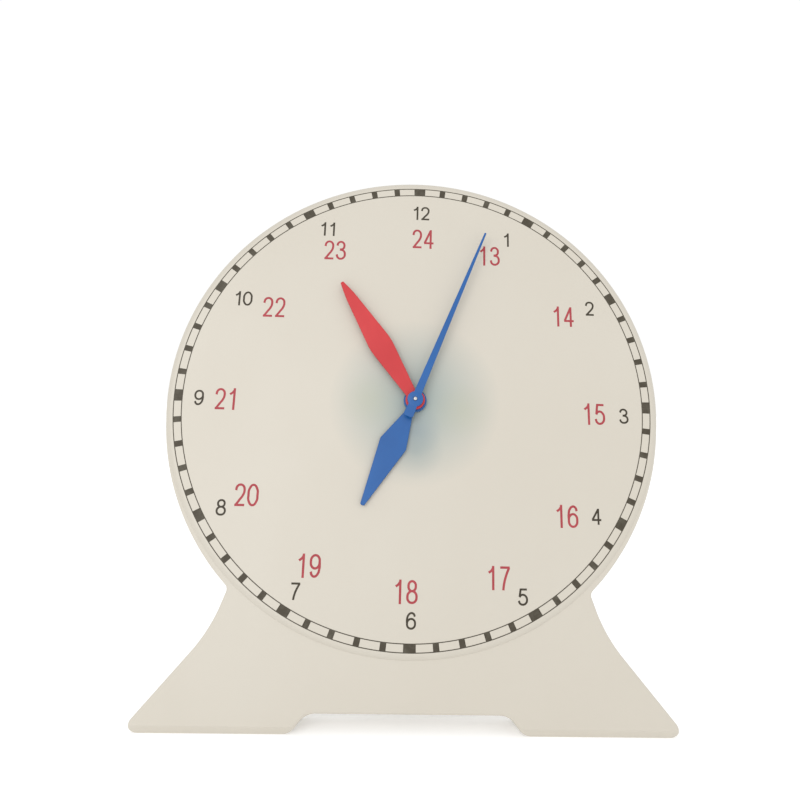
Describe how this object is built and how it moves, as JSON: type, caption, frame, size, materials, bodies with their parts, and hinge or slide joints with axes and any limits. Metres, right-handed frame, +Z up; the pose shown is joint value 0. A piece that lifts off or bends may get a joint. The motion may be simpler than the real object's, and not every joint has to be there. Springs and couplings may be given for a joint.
{
  "type": "geared teaching clock",
  "caption": "Demonstration clock: a round milky dial on two flared legs, three hands linked by gears, a clear rear gear cover, a setting knob and a folding prop leg.",
  "frame": {"origin": "centre of the bottom of the part's box, on the table between the feet and the prop leg", "axes": "+Z up, +X to the right as the dial is seen, the dial faces -Y and leans back towards +Y"},
  "size_m": [0.2464, 0.0878, 0.2667],
  "materials": {
    "case_plastic": "milky white moulded, satin",
    "back_plastic": "milky white moulded, fine matt grain",
    "clear_plastic": "clear polished",
    "green_gear": "moulded, soft gloss",
    "teal_gear": "moulded, soft gloss",
    "knob_plastic": "moulded, soft gloss",
    "blue_hand": "moulded, soft gloss",
    "red_hand": "moulded, soft gloss",
    "steel": "bright drawn"
  },
  "bodies": {
    "case": {"front_case": "case_plastic", "back_cover": "back_plastic", "gear_cover": "clear_plastic", "centre_bush": "case_plastic", "case_screw_1": "steel", "case_screw_2": "steel", "case_screw_3": "steel", "case_screw_4": "steel", "case_screw_5": "steel", "case_screw_6": "steel", "cover_screw_1": "steel", "cover_screw_2": "steel", "cover_screw_3": "steel", "cover_screw_4": "steel", "motion_pin": "steel", "motion_clip": "steel", "hinge_pin": "steel"},
    "hour": {"hour_wheel": "green_gear", "hour_hand": "blue_hand"},
    "minute": {"cannon_pinion": "teal_gear", "centre_wheel": "green_gear", "minute_hand": "red_hand"},
    "second": {"second_arbor": "steel", "second_pinion": "teal_gear", "second_hand": "blue_hand"},
    "third": {"third_arbor": "steel", "third_pinion": "teal_gear", "third_wheel": "green_gear", "setting_knob": "knob_plastic"},
    "motion": {"motion_gear": "teal_gear"},
    "prop": {"prop_leg": "back_plastic"}
  },
  "joints": [
    {"name": "knob_turn", "type": "hinge", "parent": "case", "child": "third", "pos_m": [0.01981, 0.00352, 0.14384], "axis": [0, 0.9659, -0.2588], "continuous": true},
    {"name": "minute_turn", "type": "hinge", "parent": "case", "child": "minute", "pos_m": [0, -0.00541, 0.14912], "axis": [0, 0.9659, -0.2588], "continuous": true},
    {"name": "hour_turn", "type": "hinge", "parent": "case", "child": "hour", "pos_m": [0, -0.00541, 0.14912], "axis": [0, 0.9659, -0.2588], "continuous": true},
    {"name": "second_turn", "type": "hinge", "parent": "case", "child": "second", "pos_m": [0, -0.00541, 0.14912], "axis": [0, 0.9659, -0.2588], "continuous": true},
    {"name": "motion_turn", "type": "hinge", "parent": "case", "child": "motion", "pos_m": [-0.015, -0.00058, 0.14782], "axis": [0, 0.9659, -0.2588], "continuous": true},
    {"name": "prop_fold", "type": "hinge", "parent": "case", "child": "prop", "pos_m": [0, 0.00302, 0.09406], "axis": [1, 0, 0], "range_deg": [-32, 0]}
  ],
  "couplings": [
    {"joint": "minute_turn", "follows": "knob_turn", "ratio": -0.125},
    {"joint": "second_turn", "follows": "knob_turn", "ratio": -7.5},
    {"joint": "motion_turn", "follows": "knob_turn", "ratio": 0.041667},
    {"joint": "hour_turn", "follows": "knob_turn", "ratio": -0.010417}
  ]
}
